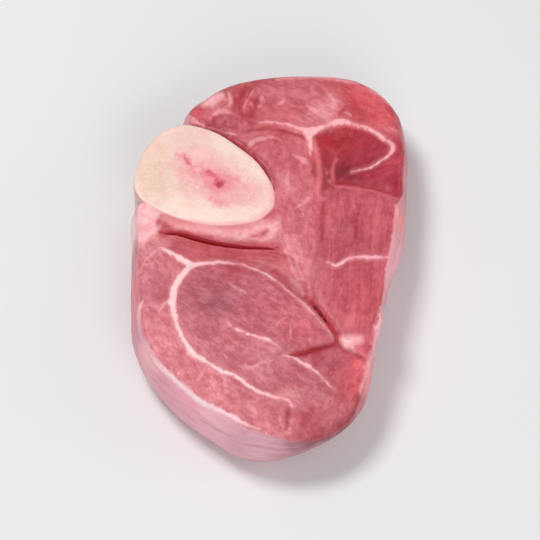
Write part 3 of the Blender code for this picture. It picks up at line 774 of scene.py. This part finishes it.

# Soft patches of another tone on the muscles, then on the seams and on the skin, as on the bone; some are
# painted shade or painted light, as noted among them
TONE_AND_SHADE_PATCHES = (
    ((-18, -19), 7.5, (0.40, 0.11, 0.155), 0.75),
    ((-22, -11), 6, (0.48, 0.12, 0.165), 0.6),
    ((-12, -8), 5, (0.60, 0.12, 0.155), 0.5),
    ((2, -20), 9, (0.66, 0.155, 0.195), 0.6),
    ((12, -28), 7, (0.76, 0.18, 0.21), 0.7),
    ((-12, -34), 8, (0.66, 0.19, 0.22), 0.6),
    ((-26, -30), 5, (0.66, 0.18, 0.21), 0.5),
    ((-2, -44), 8, (0.72, 0.26, 0.285), 0.7),
    ((8, -53), 6, (0.74, 0.27, 0.29), 0.6),
    ((15, -50), 5, (0.50, 0.15, 0.18), 0.5),
    ((22, -43), 5.5, (0.44, 0.088, 0.117), 0.55),
    ((26, -50), 6, (0.54, 0.095, 0.12), 0.6),
    ((30.6, -42.0), 4.8, (0.77, 0.13, 0.155), 0.8),
    ((30, -50.4), 5.0, (0.68, 0.105, 0.13), 0.75),
    ((33, -34), 3.4, (0.76, 0.17, 0.21), 0.7),
    ((21, -60), 6, (0.72, 0.24, 0.255), 0.75),
    # Painted shade: darker red along the near right edge, where the slice rounds down towards the floor
    ((31.6, -54.6), 2.6, (0.46, 0.075, 0.095), 0.85),
    ((28.2, -60), 3.0, (0.36, 0.075, 0.09), 0.9),
    ((24.6, -64), 3.0, (0.36, 0.075, 0.09), 0.9),
    ((19.6, -67), 3.2, (0.40, 0.09, 0.105), 0.9),
    ((12, -69.6), 3.4, (0.46, 0.115, 0.135), 0.7),
    ((-38, -13), 6, (0.45, 0.11, 0.133), 0.65),
    ((-43.6, -10), 4, (0.70, 0.23, 0.27), 0.6),
    ((-36, -36), 8, (0.78, 0.25, 0.28), 0.6),
    ((-22, -50), 8, (0.78, 0.25, 0.28), 0.6),
    ((-4, -61.6), 7, (0.68, 0.205, 0.235), 0.75),
    ((0, -67.4), 4, (0.76, 0.29, 0.32), 0.6),
    ((31, 60), 9, (0.67, 0.068, 0.093), 0.8),
    ((41, 57), 5, (0.67, 0.09, 0.115), 0.7),
    ((36, 56), 4.4, (0.57, 0.06, 0.085), 0.75),
    ((30, 57), 4.0, (0.50, 0.07, 0.09), 0.75),
    ((35, 65), 5, (0.72, 0.12, 0.145), 0.7),
    ((28, 66.6), 4.4, (0.62, 0.08, 0.10), 0.7),
    ((17, 58), 6, (0.76, 0.26, 0.28), 0.8),
    ((21.6, 62), 3.6, (0.86, 0.34, 0.35), 0.8),
    ((18.6, 54.6), 2.6, (0.78, 0.30, 0.31), 0.85),
    ((10, 61), 5, (0.64, 0.145, 0.17), 0.6),
    ((13.4, 66.6), 4.6, (0.73, 0.21, 0.24), 0.75),
    ((2, 58), 5, (0.66, 0.14, 0.165), 0.6),
    ((-7.4, 59.6), 3.2, (0.48, 0.045, 0.07), 0.8),
    ((-8.4, 66.4), 3.6, (0.48, 0.06, 0.072), 0.85),
    ((-9, 56.6), 3.2, (0.49, 0.06, 0.075), 0.8),
    ((-9.6, 62), 3.0, (0.66, 0.09, 0.12), 0.8),
    ((-14.6, 62), 3.4, (0.62, 0.165, 0.175), 0.8),
    ((-25.4, 58.6), 2.6, (0.66, 0.10, 0.125), 0.85),
    ((-21.4, 57), 2.0, (0.84, 0.25, 0.30), 0.85),
    ((-25, 54), 2.4, (0.66, 0.18, 0.20), 0.6),
    ((-16, 54), 4, (0.46, 0.10, 0.13), 0.6),
    ((20, 46), 4.6, (0.41, 0.016, 0.026), 0.95),
    ((16, 41), 3.0, (0.62, 0.09, 0.115), 0.8),
    # Painted shade: the darkest spot in the curl's crease
    ((20, 37), 3.8, (0.32, 0.010, 0.016), 0.95),
    ((26, 39), 4, (0.40, 0.040, 0.068), 0.6),
    ((28, 46), 6, (0.43, 0.030, 0.045), 0.6),
    # Painted shade: the curl's two hollow pockets
    ((25.8, 34.6), 3.2, (0.20, 0.018, 0.034), 0.75),
    ((29.6, 30.6), 2.8, (0.22, 0.012, 0.022), 0.75),
    ((35, 31), 5, (0.455, 0.045, 0.072), 0.5),
    ((34, 42), 5, (0.42, 0.040, 0.066), 0.6),
    ((44, 38), 4, (0.60, 0.085, 0.115), 0.6),
    ((28, 12), 6, (0.46, 0.075, 0.105), 0.7),
    ((38, 14), 5, (0.64, 0.12, 0.15), 0.6),
    ((36, 24), 5, (0.64, 0.13, 0.16), 0.5),
    ((21, 18), 5, (0.66, 0.12, 0.15), 0.6),
    ((34, -16), 8, (0.64, 0.105, 0.13), 0.7),
    ((24, -14), 6, (0.58, 0.105, 0.13), 0.6),
    ((28, -26), 5, (0.70, 0.14, 0.17), 0.6),
    ((8, 5), 6, (0.80, 0.27, 0.30), 0.8),
    ((12, -6), 5.5, (0.80, 0.26, 0.29), 0.7),
    ((4, -2), 4, (0.74, 0.21, 0.235), 0.6),
    ((-13, 1), 7, (0.46, 0.060, 0.078), 0.75),
    ((-26, 4), 5, (0.56, 0.085, 0.105), 0.6),
    ((0, -1), 5, (0.60, 0.11, 0.13), 0.5),
    ((4, 42), 6, (0.54, 0.11, 0.135), 0.6),
    ((-8, 50), 6, (0.50, 0.10, 0.125), 0.6),
    ((12, 28), 5, (0.68, 0.18, 0.21), 0.6),
    ((5, 28), 5, (0.70, 0.22, 0.25), 0.6),
    ((10, 16), 5, (0.72, 0.20, 0.23), 0.6),
    ((-41, 4), 5, (0.74, 0.27, 0.30), 0.8),
    ((-33, 10.5), 3, (0.78, 0.26, 0.27), 0.6),
)
SEAM_WHITE = (1.00, 0.66, 0.68)
SEAM_PATCHES = (
    ((28, 48), 15, (1.00, 0.46, 0.50), 0.9),
    ((8, 52), 9, (1.00, 0.44, 0.46), 0.9),
    ((30, -1), 12, (1.00, 0.48, 0.56), 0.95),
    ((12, -44), 7, (0.97, 0.50, 0.54), 0.8),
    ((-12, -3), 9, (0.90, 0.36, 0.40), 0.8),
    ((10, -20), 14, (0.95, 0.38, 0.42), 0.8),
    ((4, -57), 8, (0.98, 0.44, 0.47), 0.8),
    ((27, -35), 5, (1.00, 0.60, 0.60), 0.9),
    ((-46, -24), 8, (0.96, 0.44, 0.47), 0.9),
    ((43, 45), 5, (1.00, 0.37, 0.41), 0.8),
    ((-27, -58), 13, (1.00, 0.80, 0.82), 0.9),
    # The bright pink of the right rim's line: partly painted highlight
    ((37, -34), 9, (1.00, 0.42, 0.46), 0.9),
    ((34, -47), 7, (1.00, 0.37, 0.40), 0.9),
)
SKIN_BASE = (0.68, 0.32, 0.38)
SKIN_PATCHES = (
    ((-28, -58), 16, (0.98, 0.44, 0.53), 0.85),
    ((-20, -64), 7, (0.94, 0.57, 0.63), 0.7),
    ((-4, -71), 9, (0.80, 0.46, 0.52), 0.8),
    # Painted shade: dark red low on the near right end, where it rounds under towards the floor
    ((9, -71), 6, (0.42, 0.19, 0.22), 0.8),
    ((18, -68), 7, (0.20, 0.055, 0.065), 0.95),
    ((27, -63), 8, (0.24, 0.055, 0.065), 0.95),
    # Painted light: the lower left side lifted against its shade near the floor
    ((-44, -40), 9, (1.00, 0.50, 0.55), 0.8),
    ((-48, -12), 10, (0.84, 0.22, 0.25), 0.85),
    # Painted shadow: a dark band on the left side, cast by the slice that lay beside it
    ((-47, 3), 5, (0.48, 0.16, 0.165), 0.85),
    ((-48, 13), 7, (1.00, 0.66, 0.66), 0.9),
    # Partly the pale skin's own colour, partly painted light on the right side and its rounded rim, which
    # faces away from the key lamp
    ((46, 17), 8, (0.96, 0.32, 0.34), 0.95),
    ((44.5, -1), 10, (0.96, 0.43, 0.50), 0.95),
    ((42.5, -11), 4.5, (1.00, 0.34, 0.40), 0.8),
    ((38, -29), 9, (1.00, 0.46, 0.51), 0.95),
    ((34, -45), 6, (0.90, 0.30, 0.33), 0.9),
    # Painted shade: dark red at the foot of the near right edge
    ((33, -58), 5, (0.46, 0.12, 0.14), 0.9),
    ((46, 45), 14, (0.72, 0.14, 0.18), 0.95),
    ((14, 74), 24, (0.70, 0.32, 0.35), 0.8),
    ((-25, 62), 12, (0.74, 0.38, 0.40), 0.8),
)
# Dips of the cut face: centre, reach and depth
DIPS = (
    ((-9.4, 62.6), 3.0, 0.4),
    ((-22, 56.6), 2.2, 0.3), ((-36, 12.6), 2.5, 0.4), ((6, -12), 4.0, 0.35), ((4, 14), 5.0, 0.4),
)


def slumped(points):
    """The slice as it lies: its near right edge sinks, and its foot draws in below, as in the solid."""
    x, y, z = points.T
    near = np.clip(1.0 - np.hypot(x - SAG_CENTRE[0], y - SAG_CENTRE[1]) / SAG_REACH, 0.0, 1.0)
    height = np.maximum(z, 0.0) / THICKNESS
    below = np.maximum(1.0 - height, 0.0)
    tuck = TUCK * near ** TUCK_FADE * below
    beside = ease(y, *SIDE_TUCK_START) * (1.0 - ease(y, *SIDE_TUCK_END))
    side_tuck = SIDE_TUCK * ease(x, *SIDE_TUCK_ACROSS) * beside * below ** SIDE_TUCK_FADE
    drop = SAG_DEPTH * near ** SAG_FADE * height ** SAG_ROOT
    return np.stack([x + TUCK_WAY[0] * tuck - side_tuck, y + TUCK_WAY[1] * tuck, z - drop], axis=1)


def straightened(points, rounds=12, step=0.8):
    """Where the slumped slice's points would be on a slice that lies flat, found step by step."""
    flat = points.copy()
    for _ in range(rounds):
        flat += step * (points - slumped(flat))
    return flat


def muscle_map(x, y):
    """Each point's level, swell and muscle tone, its place along the grain, and how far the border is."""
    levels, swells, tones, ways, drawn_out, outlines = zip(*MUSCLES.values())
    away = np.array([plan_distance(x, y, outline) for outline in outlines])
    first, second = np.argsort(away, axis=0)[:2]
    index = np.arange(x.size)
    border = (away[second, index] - away[first, index]) / 2
    share = 0.5 * ease(border, 1.1, 0.0)[:, None]

    def blended(column):
        """The nearest muscle's value, joined softly to its neighbour's at the border."""
        values = np.array([np.atleast_1d(value) for value in column], float)
        return (values[first] * (1 - share) + values[second] * share).squeeze()

    angle = np.radians(ways)[first]
    along = (x * np.cos(angle) + y * np.sin(angle)) * np.array(drawn_out)[first]
    across = -x * np.sin(angle) + y * np.cos(angle)
    apart = first * 17.0
    grain = np.stack([along, across, apart], axis=1)
    return blended(levels), blended(swells), blended(tones), grain, border


meat = fine_copy("meat", "shank_meat", MEAT_VOXEL)
relax(meat, 3)
spots, normals = read_points(meat)
spots = straightened(spots)
x, y, z = spots.T.copy()
rim = plan_distance(x, y, SLICE_OUTLINE)
around = line_distance(x, y, smooth_plan(SLICE_OUTLINE))[1]
to_bone = plan_distance(x, y, BONE_OUTLINE)
level, swell, muscle_tone, grain, border = muscle_map(x, y)
flat_places = np.stack([x, y, np.zeros_like(z)], axis=1)
sunk = THICKNESS - slumped(np.stack([x, y, np.full_like(z, THICKNESS)], axis=1))[:, 2]
shift = LINE_SHIFT + sunk / math.tan(math.radians(VIEW_ELEVATION))
x_drawn = x + LINE_WOBBLE * waves(flat_places, WOBBLE_SIZE, 21)
y_drawn = y - shift + LINE_WOBBLE * waves(flat_places, WOBBLE_SIZE, 22)
away = {name: strokes_distance(x_drawn, y_drawn, strokes) for name, strokes in DRAWN_LINES.items()}
away["crack"] = strokes_distance(x, y, CRACKS)
away["hem"] = strokes_distance(x, y, HEM)

# The cut face: swollen muscles between grooves, with the lines standing up and the cracks sunk in
face = level + swell * (1.0 - np.exp(-border / SWELL_REACH))
face -= GROOVE_DEPTH * np.exp(-(border / GROOVE_WIDTH) ** 2)
for height, size, seed in FACE_WAVES:
    face += height * waves(flat_places, size, seed)
for name, (height, ends, whole) in LINE_RELIEF.items():
    face += height * ease(away[name], ends, whole)
for centre, reach, depth in DIPS:
    face -= depth * bump_at(x, y, centre, reach)
face -= RIM_DROP * ease(-rim, 3.0, 0.4)

# Below the bone the gristle closes over the bone's edge; above it a dark gap stays open
lower_side = closed_over(x, y)
closing = BAY_OVERLAP * ease(to_bone, 3.6, 0.3) * lower_side * ease(z, 18.0, 22.0) * ease(-rim, 0.5, 2.0)
from_bone = to_bone - closing
lap_level = sawn_level(flat_places) + LAP_HEIGHT - LAP_THINNING * ease(from_bone, 0.3, -1.3)
near_bone = ease(to_bone, 5.0, 2.2) * lower_side
face += near_bone * (lap_level - face) - GAP_DEPTH * ease(to_bone, 1.6, 0.2) * (1.0 - lower_side)
face = np.minimum(face, FACE_LIMIT)

# The relief takes over near the top of the solid, inside its rolled rim
top_share = ease(z, *MEAT_UPPER) * ease(-rim, 0.2, 1.7)
z = z * (1 - top_share) + face * top_share
narrow = ease(-y, *NARROW_CRACKS)
z -= NARROW_SINK * narrow * top_share * ease(away["crack"], 0.4, -0.1)

# The underside lies flat, with shallow grooves between the muscles
under_share = ease(z, *MEAT_LOWER) * ease(-rim, 2.4, 4.0)
under = UNDER_LIFT + UNDER_GROOVE * np.exp(-(border / UNDER_GROOVE_WIDTH) ** 2)
under += 0.1 * waves(flat_places, 6.0, 14)
z = z + under_share * np.maximum(under, 0.0)

# The skin of the side in soft folds, the cracks a little wider, and the gristle drawn over the bone
side = 1.0 - np.maximum(top_share, ease(z, 2.0, 0.0) * ease(-rim, 1.0, 3.0))
outside = ease(to_bone, 1.0, 4.0) * ease(rim, -3.5, -0.5)
folds = FOLD_DEPTH + 0.28 * waves(spots, 9.0, 15) + 0.12 * waves(spots * (1.0, 1.0, 2.2), 4.0, 16)
spots[:, :2] -= normals[:, :2] * (side * outside * np.maximum(folds, 0.0))[:, None]
in_crack = ease(away["crack"], 1.4, 0.6) * ease(z, 20.0, 24.0) * ease(np.abs(normals[:, 2]), 0.9, 0.4)
widening = SPLIT_WIDENING + (NARROW_WIDENING - SPLIT_WIDENING) * narrow
spots[:, :2] += normals[:, :2] * (widening * in_crack)[:, None]
spots[:, :2] -= outward(x, y, BONE_OUTLINE, to_bone) * closing[:, None]
spots[:, 2] = z
write_points(meat, slumped(spots))
relax(meat, 1, strength=0.3)

# Where the skin begins: its edge over the cut face, and its edge on the underside
near_edge = ease(-x, -12.0, 6.0) * ease(-y, -10.0, 20.0)
right_strip = ease(x, 36.0, 40.0) * ease(y, -16.0, -6.0) * ease(y, 25.0, 19.0)
bare = ease(x, 30.0, 40.0) * ease(y, 23.0, 28.0) + 0.35 * ease(x, 4.0, 16.0) * ease(-y, 50.0, 58.0)
skin_over = SKIN_OVER + SKIN_NEAR * near_edge + SKIN_RIGHT * right_strip - SKIN_BARE * bare
edge_top = rim + skin_over + 0.8 * np.maximum(24.0 - z, 0.0)
edge_under = rim + 2.6 + z
paint(meat, "edge", np.minimum(edge_top, edge_under))
paint(meat, "tone", tinted(x, y, muscle_tone, TONE_AND_SHADE_PATCHES))

# The skin's tones wander a little and even out low on the sides that the photograph doesn't show
drift = waves(spots, 9.0, 31)
skin_base = np.tile(SKIN_BASE, (x.size, 1))
skin_tone = tinted(x + 2.5 * drift, y + 7.0 * drift, skin_base, SKIN_PATCHES)
front_left = ease(-y, 20.0, 40.0) * ease(x, 25.0, 5.0)
evened = (0.8 * (1.0 - front_left) * ease(z + 4.0 * drift, 20.0, 5.0))[:, None]
paint(meat, "skin_tone", skin_tone * (1 - evened) + skin_base * evened)
paint(meat, "seam_tone", tinted(x, y, np.tile(SEAM_WHITE, (x.size, 1)), SEAM_PATCHES))
paint(meat, "grain", grain * MM)
paint(meat, "inside", ease(border, 0.5, 1.4))
paint(meat, "wrap", np.stack([around * SHEET_STRETCH, np.zeros_like(z), z], axis=1) * MM)
paint(meat, "foot", ease(z, 11.0, 3.0) * ease(x, 12.0, -4.0))
for name in DRAWN_LINES:
    paint(meat, name, away[name])
paint(meat, "crack", away["crack"] + 3.0 * ease(z, 18.0, 14.0))
# How deep below the face each point lies inside the split, for the painted light on its walls
in_split = ease(away["crack"], 1.5, 0.7) * (1.0 - 0.8 * narrow)
paint(meat, "depth", (face - z) * in_split * ease(z, 11.0, 15.0))
paint(meat, "bay", from_bone + 5.0 * (1.0 - lower_side))
# The hem is painted wider towards the right, as part of the painted highlight on the right rim
paint(meat, "hem", away["hem"] * (1.0 - 0.55 * ease(x, 10.0, 25.0)) + 3.0 * ease(z, 23.5, 21.5))

SEAM_PALE = (0.92, 0.40, 0.43)
FAT_PINK = (1.00, 0.54, 0.56)
# A lighter red painted on the raised ridges: painted highlight
RIDGE_HIGHLIGHT = (0.82, 0.20, 0.225)
BAY_PINK = (0.95, 0.55, 0.51)
GRISTLE_PINK = (0.76, 0.25, 0.26)
# Painted shade along the cracks
CRACK_SHADE_RED = (0.46, 0.035, 0.05)
# Red meat inside the split, painted brighter than the muscles so that the deep split shows dark red, not
# black: partly painted light
SPLIT_LIGHT_RED = (0.82, 0.105, 0.125)
# Painted shade in the creases
CREASE_SHADE = (0.36, 0.03, 0.042)
SHINE_THROUGH = (0.60, 0.17, 0.21)
FOOT_PINK = (0.82, 0.37, 0.42)
SKIN_PALE = (0.92, 0.72, 0.77)
# What the muscle's own tone is multiplied by in its dark and light fibres and its pale flecks, the
# seam's tone at its soft edge, and the skin's in its thicker folds
DARK_FIBRE = (0.76, 0.52, 0.57)
LIGHT_FIBRE = (1.20, 1.43, 1.37)
PALE_FLECK = (1.30, 2.2, 2.0)
SEAM_EDGE = (0.93, 0.70, 0.72)
SKIN_FOLD = (0.88, 0.72, 0.76)
BUNDLES_PER_METRE = 700.0


def shaded(tree, colour, cloud, darker, lighter, below, above):
    """Darker where a cloud thins out and lighter where it thickens: start, end and strength of each."""
    colour = mixed(tree, ramp(tree, cloud, below[0], below[1], 0.0, below[2]), colour, darker)
    return mixed(tree, ramp(tree, cloud, above[0], above[1], 0.0, above[2]), colour, lighter)


meat_finish, tree, shader = new_finish(
    "moist_raw_beef", roughness=0.45, shine=0.2, coat=0.16, coat_roughness=0.24, scatter=0.12,
    scatter_depth=1.2
)
place = node(tree, "TexCoord").outputs["Object"]
fibres = kept(tree, "grain", "Vector")

# Each muscle's own tone, clouded
colour = kept(tree, "tone", "Color")
dark = mixed(tree, 1.0, colour, DARK_FIBRE, "MULTIPLY")
light = mixed(tree, 1.0, colour, LIGHT_FIBRE, "MULTIPLY")
cloud = mottle(tree, place, 6.0, detail=4.0, roughness=0.6)
colour = shaded(tree, colour, cloud, dark, light, (0.5, 0.3, 0.8), (0.5, 0.7, 0.8))
lumps = mottle(tree, place, 2.4, detail=3.0)
colour = shaded(tree, colour, lumps, dark, light, (0.48, 0.32, 0.6), (0.52, 0.68, 0.6))

# The fibres run along each muscle's own grain and stop at its border
under_grain = colour
strands = mottle(tree, fibres, 1.5, detail=4.0, roughness=0.65, distortion=0.4)
colour = shaded(tree, colour, strands, dark, light, (0.52, 0.34, 0.6), (0.54, 0.72, 0.6))
broad = mottle(tree, fibres, 4.5, detail=2.0)
colour = shaded(tree, colour, broad, dark, light, (0.48, 0.3, 0.55), (0.54, 0.72, 0.45))
bundles = node(tree, "TexVoronoi", {"Vector": fibres, "Scale": BUNDLES_PER_METRE}, feature="F1")
one_bundle = node(tree, "SeparateColor", {"Color": bundles.outputs["Color"]}).outputs[0]
colour = mixed(tree, ramp(tree, one_bundle, 0.55, 1.0, 0.0, 0.35), colour, dark)
flecks = mottle(tree, fibres, 2.4, detail=5.0, roughness=0.7, distortion=1.2)
pale_fleck = mixed(tree, 1.0, colour, PALE_FLECK, "MULTIPLY")
colour = mixed(tree, ramp(tree, flecks, 0.60, 0.70, 0.0, 0.6), colour, pale_fleck)
colour = mixed(tree, kept(tree, "inside"), under_grain, colour)

# Pale tissue, fat, gristle, ridges painted lighter as painted highlights, and creases darkened with painted
# shade over the grain, each fading out from its line's edge
ragged = ramp(tree, mottle(tree, place, 2.0, detail=3.0), 0.25, 0.75, -0.3, 0.3)
fat = mixed(tree, ramp(tree, mottle(tree, place, 2.6), 0.36, 0.62), SEAM_PALE, FAT_PINK)
seam_tone = kept(tree, "seam_tone", "Color")
seam_soft = mixed(tree, 1.0, seam_tone, SEAM_EDGE, "MULTIPLY")
colour = mixed(tree, ramp(tree, kept(tree, "seam"), 0.0, 1.6, 0.2, 0.0), colour, SEAM_PALE)
for line, whole, ends, strength, tint in (
    ("gristle", -0.9, 0.5, 0.9, GRISTLE_PINK),
    ("pad", -2.2, 1.2, 0.95, fat),
    ("ridge", -0.9, 1.1, 0.75, RIDGE_HIGHLIGHT),
    ("faint", -0.6, 0.6, 0.6, SEAM_PALE),
    ("seam", -0.4, 0.45, 0.9, seam_soft),
    ("seam", -0.8, 0.1, 0.95, seam_tone),
    ("crease", -0.6, 1.3, 0.75, CREASE_SHADE),
):
    colour = mixed(tree, ramp(tree, frayed(tree, line, ragged), whole, ends, strength, 0.0), colour, tint)
# Painted shade: dark red along the cracks' lips, where shade falls into them
crack_edge = frayed(tree, "crack", ragged, 0.5)
colour = mixed(tree, ramp(tree, crack_edge, 0.0, 0.9, 0.9, 0.0), colour, CRACK_SHADE_RED)
# Painted light: the deep split's walls painted a bright red
colour = mixed(tree, ramp(tree, kept(tree, "depth"), 0.2, 1.0), colour, SPLIT_LIGHT_RED)
colour = mixed(tree, ramp(tree, kept(tree, "bay"), 0.3, -1.3), colour, BAY_PINK)

# The skin: thin sheets drawn out along the side, with the red meat shining through in places
wrap = kept(tree, "wrap", "Vector")
skin = kept(tree, "skin_tone", "Color")
skin = mixed(tree, sums(tree, "MULTIPLY", kept(tree, "foot"), 0.7), skin, FOOT_PINK)
deeper = mixed(tree, 1.0, skin, SKIN_FOLD, "MULTIPLY")
paler = mixed(tree, 0.3, skin, SKIN_PALE)
sheets = mottle(tree, wrap, 2.2, detail=4.0, roughness=0.6, distortion=0.5)
skin = shaded(tree, skin, sheets, deeper, paler, (0.52, 0.34, 0.6), (0.52, 0.68, 0.6))
thin_spots = mottle(tree, wrap, 3.4, detail=3.0, distortion=0.6)
skin = mixed(tree, ramp(tree, thin_spots, 0.56, 0.72, 0.0, 0.4), skin, SHINE_THROUGH)
colour = mixed(tree, ramp(tree, frayed(tree, "edge", ragged), -0.5, 0.6), colour, skin)
# The hem: the skin's pale edge, and on the right rim also a painted highlight
hem_edge = frayed(tree, "hem", ragged, 0.8)
colour = mixed(tree, ramp(tree, hem_edge, -0.7, 0.6, 0.9, 0.0), colour, seam_tone)
tree.links.new(colour, shader.inputs["Base Color"])

# Fine relief: fibres inside the muscles, a moist unevenness that calms in the creases, raised seams
fibre_relief = sums(tree, "MULTIPLY", sums(tree, "SUBTRACT", strands, 0.5), kept(tree, "inside"))
relief = sums(tree, "ADD", fibre_relief, sums(tree, "MULTIPLY", mottle(tree, place, 0.6), 0.6))
relief = sums(tree, "MULTIPLY", relief, ramp(tree, kept(tree, "crease"), 0.6, 2.4, 0.15, 1.0))
raised_seam = ramp(tree, frayed(tree, "seam", ragged), -0.5, 0.4, 0.8, 0.0)
relief = sums(tree, "ADD", relief, raised_seam)
bumped(tree, shader, relief, depth=0.2, strength=0.8)
meat.data.materials.append(meat_finish)
meat.data.shade_smooth()
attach(meat, "root")
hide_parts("meat")

# The studio: a pale floor, a pale sky, one soft lamp above, a wider one from the front and a weak one
# from the right, and the camera that looks down on the slice from its rounded end. Sizes are in metres.

VIEW_DISTANCE = 1.5
VIEW_WIDTH = 0.188
LOOK_AT = (0.0, -0.001, 0.013)
FLOOR_SIZE = 3.0
FLOOR_GREY = (0.80, 0.80, 0.81, 1.0)
FLOOR_ROUGHNESS = 0.7
SKY_WHITE = (1.0, 1.0, 1.0, 1.0)
SKY_STRENGTH = 0.325

bpy.context.scene.view_settings.view_transform = "Standard"
floor_mesh = bpy.data.meshes.new("floor")
shape = bmesh.new()
bmesh.ops.create_grid(shape, x_segments=1, y_segments=1, size=FLOOR_SIZE)
shape.to_mesh(floor_mesh)
shape.free()
floor = bpy.data.objects.new("floor", floor_mesh)
bpy.context.scene.collection.objects.link(floor)
floor_finish = bpy.data.materials.new("pale_floor")
floor_finish.use_nodes = True
floor_shader = floor_finish.node_tree.nodes["Principled BSDF"]
floor_shader.inputs["Base Color"].default_value = FLOOR_GREY
floor_shader.inputs["Roughness"].default_value = FLOOR_ROUGHNESS
floor.data.materials.append(floor_finish)

world = bpy.data.worlds.new("studio")
world.use_nodes = True
world.node_tree.nodes["Background"].inputs["Color"].default_value = SKY_WHITE
world.node_tree.nodes["Background"].inputs["Strength"].default_value = SKY_STRENGTH
bpy.context.scene.world = world


def soft_light(name, place, size, power):
    """A square lamp that faces the slice."""
    lamp = bpy.data.lights.new(name, "AREA")
    lamp.shape = "SQUARE"
    lamp.size = size
    lamp.energy = power
    holder = bpy.data.objects.new(name, lamp)
    holder.location = place
    holder.rotation_euler = (-Vector(place)).to_track_quat("-Z", "Y").to_euler()
    bpy.context.scene.collection.objects.link(holder)


soft_light("key_light", (-0.34, 0.22, 0.92), size=0.3, power=5.4)
soft_light("front_fill", (0.25, -0.90, 0.60), size=0.7, power=4.2)
soft_light("side_fill", (0.90, -0.06, 0.48), size=0.5, power=1.5)

lens = bpy.data.cameras.new("camera")
lens.lens = lens.sensor_width * VIEW_DISTANCE / VIEW_WIDTH
camera = bpy.data.objects.new("camera", lens)
tilt = math.radians(VIEW_ELEVATION)
camera.location = Vector(LOOK_AT) + Vector((0.0, -math.cos(tilt), math.sin(tilt))) * VIEW_DISTANCE
camera.rotation_euler = (math.radians(90.0 - VIEW_ELEVATION), 0.0, 0.0)
bpy.context.scene.collection.objects.link(camera)
bpy.context.scene.camera = camera
